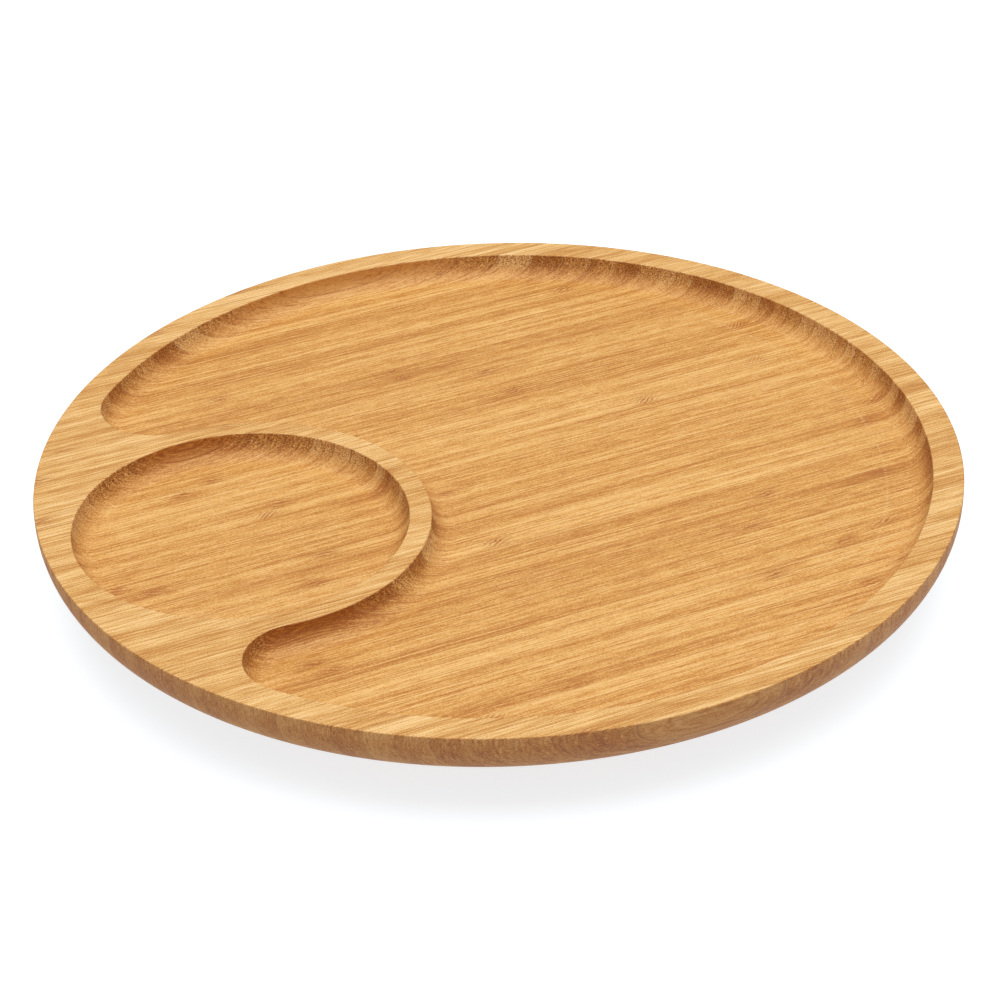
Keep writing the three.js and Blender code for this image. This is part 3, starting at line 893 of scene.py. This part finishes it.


class Bamboo(Finish):
    """Strips of bamboo glued side by side, as a solid texture in millimetres.

    Along the grain the fibres are long streaks; where a wall is cut across the grain the same
    fibres show as dots. Every strip has its own tone, its own fibres and its own culm nodes.
    Upright walls nearer the axis than routed_within get painted shade and a browner tone.
    """

    def __init__(self, name, shift, routed_within):
        super().__init__(name)
        self.x, y, _ = self.place()
        self.radius = (self.x * self.x + y * y).sqrt()
        self.along, self.across, self.height = self.place(turn=(0, 0, -GRAIN_ANGLE), shift=shift)
        self.depth = LAND - self.height
        self.read_faces(routed_within)
        self.lay_strips()
        self.grow_nodes()
        self.draw_fibres()

    def read_faces(self, routed_within):
        """Where faces are cut across the grain, where they stand upright, and which are recess walls, for
        painted shade and a browner tone.
        """
        facing = self.split(self.node("ShaderNodeTexCoord", output="Normal"))
        along_grain = facing[0] * math.cos(GRAIN_ANGLE) + facing[1] * math.sin(GRAIN_ANGLE)
        self.up = facing[2]
        self.cut_across = along_grain * along_grain
        self.sawn = self.cut_across.step(0.0, 0.16)
        self.upright = 1.0 - self.up * self.up
        # recess walls: a mask for painted shade and for a browner tone of the wood
        self.wall_shade_and_brown = self.upright.step(0.3, 1.0) * (routed_within - self.radius).step(0.0, 1.0)

    def lay_strips(self):
        """Strips of slightly uneven width, each with a tone, a hue and fibres of its own."""
        line = self.across / STRIP + (self.across / 13.7).sin() * 0.28
        self.strip = line.floor()
        self.edge = line.fract()
        self.tone, self.shift_along, self.hue = self.chance(self.strip, 3.0)
        self.own = self.strip * 17.3

    def grow_nodes(self):
        """Culm nodes along each strip, some strong and some faint: a core and a wide halo."""
        line = self.along / NODE_SPACING + self.shift_along * 7.0
        strength, side, reach = self.chance(self.strip, line.floor())
        self.from_node = (line.fract() - 0.5) * NODE_SPACING
        self.lean = side - 0.5
        inside_strip = (self.edge - 0.25 - reach * 0.5).bell(0.42)
        core = self.from_node.bell(NODE_CORE) * inside_strip * strength.step(0.0, 0.36)
        self.node_core = core * (1.0 - self.upright * 0.7)
        self.node_halo = (self.from_node + self.lean * 20.0).bell(NODE_HALO) * strength.step(0.3, 1.0)

    def draw_fibres(self):
        """Fibres that waver a little and swirl round a culm node, the node's curled mark, and the
        pores that show where a face is cut across."""
        along, across, height = self.along, self.across, self.height
        waver = self.noise(along / 130, across / 14, height / 14, detail=1.0) - 0.5
        swirl = self.noise(along / 3.2, across / 2.4 + self.own, height / 2.4, detail=1.0) - 0.5
        self.bent = across + waver * 0.6 + self.node_core * swirl * 3.0
        self.streaks = self.grain(55, 0.7, 1.6, detail=2.0, roughness=0.6)
        self.fibres = self.grain(9, 0.3, 0.3, detail=1.5, roughness=0.6)
        curl = (across * 3.3 + self.from_node * (self.lean * 7.6) + swirl * 7.0 + self.own).sin()
        self.mark = self.node_core * curl.step(0.1, 0.6)
        self.pores = self.noise(along / 2.0, across / 0.42, height / 0.42, detail=1.0, roughness=0.6)

    def grain(self, length, width, depth, detail, roughness=0.5):
        """Noise drawn out along the bent fibres, with its scales in millimetres."""
        across = self.bent / width + self.own
        return self.noise(self.along / length, across, self.height / depth, detail, roughness)

    def plain_wood(self):
        """Colour from dark through middle to light, by the sum of all fibres and the strip's tone."""
        bands = self.grain(150, 2.4, 14, detail=1.0)
        flecks = self.noise(self.along / 0.6, self.across / 0.4, self.height / 0.4, detail=1.0)
        threads = self.grain(120, 0.36, 3, detail=0.0)
        shade = (bands - 0.5) * 0.6 + (self.streaks - 0.5) * 0.9 + (self.fibres - 0.5) * 2.1
        shade = shade + (flecks - 0.5) * 1.5 + (self.tone - 0.5) * (0.4 + self.wall_shade_and_brown * 0.9)
        shade = shade + threads.step(0.6, 0.78) * 0.42
        shade = shade - (1.0 - threads).step(0.6, 0.78) * 0.5
        shade = shade + (self.edge - 0.5) * (self.hue - 0.5) * 0.6 - self.node_halo * 0.3 + 0.53
        colour = self.mix(shade.step(-0.15, 0.62), DARK_FIBRES, MIDDLE_FIBRES)
        return self.mix(shade.step(0.42, 1.15), colour, LIGHT_FIBRES)

    def with_nodes(self, colour):
        """Brown culm nodes: a faint core under a strong curled mark."""
        return self.mix(self.node_core * 0.14 + self.mark * 0.9, colour, NODE_BROWN)

    def with_glue_lines(self, colour):
        """A line along both edges of a strip, brown on pale strips and light on dark ones."""
        joint = self.edge.bell(JOINT) + (1.0 - self.edge).bell(JOINT)
        depth = (self.tone - 0.4).greatest(0.0) * (0.9 - self.wall_shade_and_brown * 0.7)
        depth = depth + self.wall_shade_and_brown * self.sawn * 0.5 + self.upright * 0.08
        colour = self.mix(joint * depth, colour, GLUE_BROWN)
        return self.mix(joint * (0.35 - self.tone).greatest(0.0) * 1.6, colour, LIGHT_FIBRES)

    def with_cut_faces(self, colour):
        """End grain darker where walls are cut across; painted shade on walls and underneath; a tint
        below the land.
        """
        ends = self.mix(self.pores.step(0.37, 0.6), END_GRAIN, WHITE)
        # end grain where cut across; the recess walls also take painted shade from the end-grain colour
        cut = self.sawn * (0.05 + self.wall_shade_and_brown * 0.65) + self.wall_shade_and_brown * 0.3
        colour = self.mix(cut, colour, ends, "MULTIPLY")
        # painted shade on faces that look down, such as under the overhang
        under = (0.0 - self.up).step(0.45, 0.85)
        # painted shade on every upright face and under the overhang, partly a burnish on the recess walls
        shade_and_burnish = self.wall_shade_and_brown * (0.14 - self.sawn * self.sawn * 0.7) + self.upright * 0.66 + under * 0.4
        colour = self.mix(shade_and_burnish, colour, SHADE_BROWN, "MULTIPLY")
        return self.mix(self.depth.step(1.0, 6.0), colour, HOLLOW_TINT, "MULTIPLY")

    def with_pass_line(self, colour):
        """Faint broken arc on a recess floor, on the side towards +X."""
        on_floor = self.up * self.depth.step(7.0, 8.0)
        arc_line = (self.radius - PASS_RADIUS).bell(0.5) * self.x.step(40.0, 90.0) * on_floor
        return self.mix(arc_line * self.streaks.step(0.4, 0.62) * 0.34, colour, LIGHT_FIBRES)


def bamboo(name, shift, routed_within):
    """Bamboo laminate, oiled: a little glossier on its dense streaks and duller where it is cut
    across, with open pores there."""
    wood = Bamboo(name, shift, routed_within)
    colour = wood.with_glue_lines(wood.with_nodes(wood.plain_wood()))
    colour = wood.with_pass_line(wood.with_cut_faces(colour))
    roughness = 0.56 - (wood.streaks - 0.5) * 0.2 + wood.cut_across * 0.15
    wood.set(base_color=colour, roughness=roughness)
    open_pores = wood.pores * wood.sawn * (0.3 + wood.wall_shade_and_brown * 1.1)
    relief = wood.streaks * 0.35 + wood.fibres * 0.4 + open_pores - wood.mark * 0.6
    wood.bump(relief, 0.12 * MM, 0.8)
    return wood.material


# ------------------------------------------------------------------ metal, nylon and rubber


def plated_steel(name, dull, bright, grain, roughness):
    """Plated sheet or wire: a mottled bright coat over fine drawn lines, with a few dark specks.
    The lines are 1 / grain millimetres apart across the way the steel was rolled, along X."""
    metal = Finish(name, metallic=1.0)
    x, y, z = metal.place()
    lines = metal.noise(x / 9, y * grain, z * grain, detail=2.0, roughness=0.6)
    spangle = metal.noise(x / 2.4, y / 2.4, z / 2.4, detail=2.0, roughness=0.7)
    film = metal.noise(x / 14, y / 14, z / 14, detail=1.0)
    specks = metal.noise(x * 1.7, y * 1.7, z * 1.7, detail=0.0)
    colour = metal.mix((spangle * 0.6 + film * 0.4).step(0.32, 0.68), dull, bright)
    colour = metal.mix(specks.step(0.74, 0.8) * 0.35, colour, rgb(110, 106, 98))
    metal.set(base_color=colour, roughness=roughness + (lines - 0.5) * 0.16 + (spangle - 0.5) * 0.1)
    metal.bump(lines * 0.6 + spangle * 0.4, 0.02 * MM, 0.6)
    return metal.material


def polished_steel(name):
    """Ground and lapped bearing steel: nearly a mirror, with hair scratches and a thin oil film."""
    metal = Finish(name, metallic=1.0)
    x, y, z = metal.place()
    scratches = metal.noise(x / 1.5, y / 0.04, z / 0.04, detail=0.0)
    film = metal.noise(x / 1.8, y / 1.8, z / 1.8, detail=2.0)
    colour = metal.mix(film, rgb(196, 197, 199), rgb(216, 217, 219))
    metal.set(base_color=colour, roughness=0.07 + scratches.step(0.7, 0.85) * 0.1 + film * 0.05)
    metal.bump(scratches, 0.002 * MM, 0.4)
    return metal.material


def moulded_nylon(name):
    """Natural nylon: a little uneven in tone, with the fine orange peel of its mould."""
    nylon = Finish(name, subsurface_weight=0.15, subsurface_scale=1 * MM)
    x, y, z = nylon.place()
    tone = nylon.noise(x / 8, y / 8, z / 8, detail=2.0)
    peel = nylon.noise(x / 0.4, y / 0.4, z / 0.4, detail=2.0)
    colour = nylon.mix(tone.step(0.3, 0.7), rgb(224, 219, 203), rgb(238, 235, 224))
    nylon.set(base_color=colour, roughness=0.4 + (peel - 0.5) * 0.2)
    nylon.bump(peel, 0.03 * MM, 0.6)
    return nylon.material


def moulded_rubber(name):
    """Near-black rubber: matt, dusty on its high spots, with a fine grain."""
    rubber = Finish(name)
    x, y, z = rubber.place()
    grain = rubber.noise(x / 0.35, y / 0.35, z / 0.35, detail=3.0, roughness=0.65)
    dust = rubber.noise(x / 5, y / 5, z / 5, detail=2.0)
    colour = rubber.mix(dust.step(0.45, 0.75) * 0.5, rgb(34, 33, 33), rgb(66, 63, 60))
    rubber.set(base_color=colour, roughness=0.78 + (grain - 0.5) * 0.2)
    rubber.bump(grain, 0.06 * MM, 0.7)
    return rubber.material


# ------------------------------------------------------------------ placing


def finish_piece(piece, material, body, slot, *nodes):
    """Gives a piece its material and body, and lets it stand for its CAD nodes; slot is not used."""
    piece.data.materials.append(material)
    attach(piece, body)
    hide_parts(*nodes)


BASE_SHIFT = (371, 188, 0)  # millimetres, to strips unlike the board's

board_bamboo = bamboo("board_bamboo", (0, 0, 0), (BOARD_RADIUS - RIM_WIDTH / 2) / MM)
base_bamboo = bamboo("base_bamboo", BASE_SHIFT, BASE_RADIUS / 2 / MM)
zinc_plate = plated_steel("zinc_plate", rgb(176, 178, 180), rgb(208, 210, 212), 7, 0.36)
rivet_steel = plated_steel("rivet_steel", rgb(184, 184, 182), rgb(206, 206, 203), 11, 0.28)
screw_zinc = plated_steel("screw_zinc", rgb(186, 182, 164), rgb(214, 209, 190), 14, 0.3)
ball_steel = polished_steel("ball_steel")
nylon_cage = moulded_nylon("nylon_cage")
foot_rubber = moulded_rubber("foot_rubber")


finish_piece(serving_board(), board_bamboo, "turntable", "board_bamboo", "serving_board")
finish_piece(base_disc(), base_bamboo, "base", "base_bamboo", "base_disc")

lower_plate = swivel_plate("bearing_lower_plate_finish", math.pi / 4, False, lower_plate_low[2])
upper_plate = swivel_plate("bearing_upper_plate_finish", 0, True, upper_plate_high[2])
finish_piece(lower_plate, zinc_plate, "base", "zinc_plate", "bearing_lower_plate")
finish_piece(upper_plate, zinc_plate, "turntable", "zinc_plate", "bearing_upper_plate")
finish_piece(centre_rivet(), rivet_steel, "base", "rivet_steel", "center_rivet")
finish_piece(ball_cage(), nylon_cage, "cage", "nylon_cage", "ball_cage")
for number in range(1, BALL_COUNT + 1):
    ball = f"{number:02d}"
    finish_piece(bearing_ball(number), ball_steel, f"ball_{ball}", "ball_steel", f"bearing_ball_{ball}")
for number in range(1, len(QUARTER_TURNS) + 1):
    for plate, body, head_up in (("lower", "base", True), ("upper", "turntable", False)):
        node = f"{plate}_plate_screw_{number}"
        finish_piece(screw(node, head_up), screw_zinc, body, "screw_zinc", node)
    node = f"foot_{number}"
    finish_piece(rubber_foot(node), foot_rubber, "base", "foot_rubber", node)


# ------------------------------------------------------------------ floor, lights and camera


FLOOR_REACH = 20 * BOARD_RADIUS
FLOOR_GREY = rgb(194, 194, 194)
FLOOR_GLOW = 0.75  # light of its own, which keeps the floor nearly white
GLOW_TINT = (0.865, 0.945, 1, 1)
LIGHT_PLACE = (0.05, 0.0, 1.8)
LIGHT_SIDE = 2.0
LIGHT_POWER = 27  # watts
SURROUND_STRENGTH = 0.5
SENSOR_WIDTH = 36  # millimetres, as the lens is
LENS = 103.96
CAMERA_PLACE = (0.00036, -0.93018, BOARD_TOP + 0.57732)
CAMERA_DIP = 32.675  # degrees below level
CAMERA_ROLL = -1.794  # degrees


def pale_floor():
    """Wide plain floor at the level the feet stand on. It glows, but throws no light on the board."""
    square = np.array([(-1, -1), (1, -1), (1, 1), (-1, 1)])
    skin = Skin()
    skin.face(skin.loop(at_height(square * FLOOR_REACH, 0.0)))
    floor = skin.build("floor")
    paint = Finish("floor_paint", base_color=FLOOR_GREY, roughness=0.9)
    paint.set(emission_color=GLOW_TINT, emission_strength=FLOOR_GLOW)
    floor.data.materials.append(paint.material)
    floor.visible_diffuse = False


def soft_light(name, place, aim, size, power):
    """Square area light at a place, facing a point."""
    lamp = bpy.data.lights.new(name, "AREA")
    lamp.shape = "SQUARE"
    lamp.size = size
    lamp.energy = power
    light = bpy.data.objects.new(name, lamp)
    bpy.context.scene.collection.objects.link(light)
    direction = np.array(aim, float) - np.array(place, float)
    turn = Vector(direction).to_track_quat("-Z", "Y").to_matrix().to_4x4()
    light.matrix_world = Matrix.Translation(place) @ turn
    return light


def studio():
    """Wide soft light overhead, and an even white surround."""
    soft_light("overhead", LIGHT_PLACE, (0, 0, 0), LIGHT_SIDE, LIGHT_POWER)
    world = bpy.data.worlds.new("surround")
    world.use_nodes = True
    background = world.node_tree.nodes["Background"]
    background.inputs["Color"].default_value = WHITE
    background.inputs["Strength"].default_value = SURROUND_STRENGTH
    bpy.context.scene.world = world
    bpy.context.scene.view_settings.view_transform = "Standard"


def camera():
    """Camera in front of the board and above it, tipped down, with a slight roll."""
    lens = bpy.data.cameras.new("camera")
    lens.sensor_width = SENSOR_WIDTH
    lens.lens = LENS
    seen = bpy.data.objects.new("camera", lens)
    bpy.context.scene.collection.objects.link(seen)
    place = Matrix.Translation(CAMERA_PLACE)
    tip = Matrix.Rotation(math.radians(90 - CAMERA_DIP), 4, "X")
    roll = Matrix.Rotation(math.radians(CAMERA_ROLL), 4, "Z")
    seen.matrix_world = place @ tip @ roll
    bpy.context.scene.camera = seen


pale_floor()
studio()
camera()
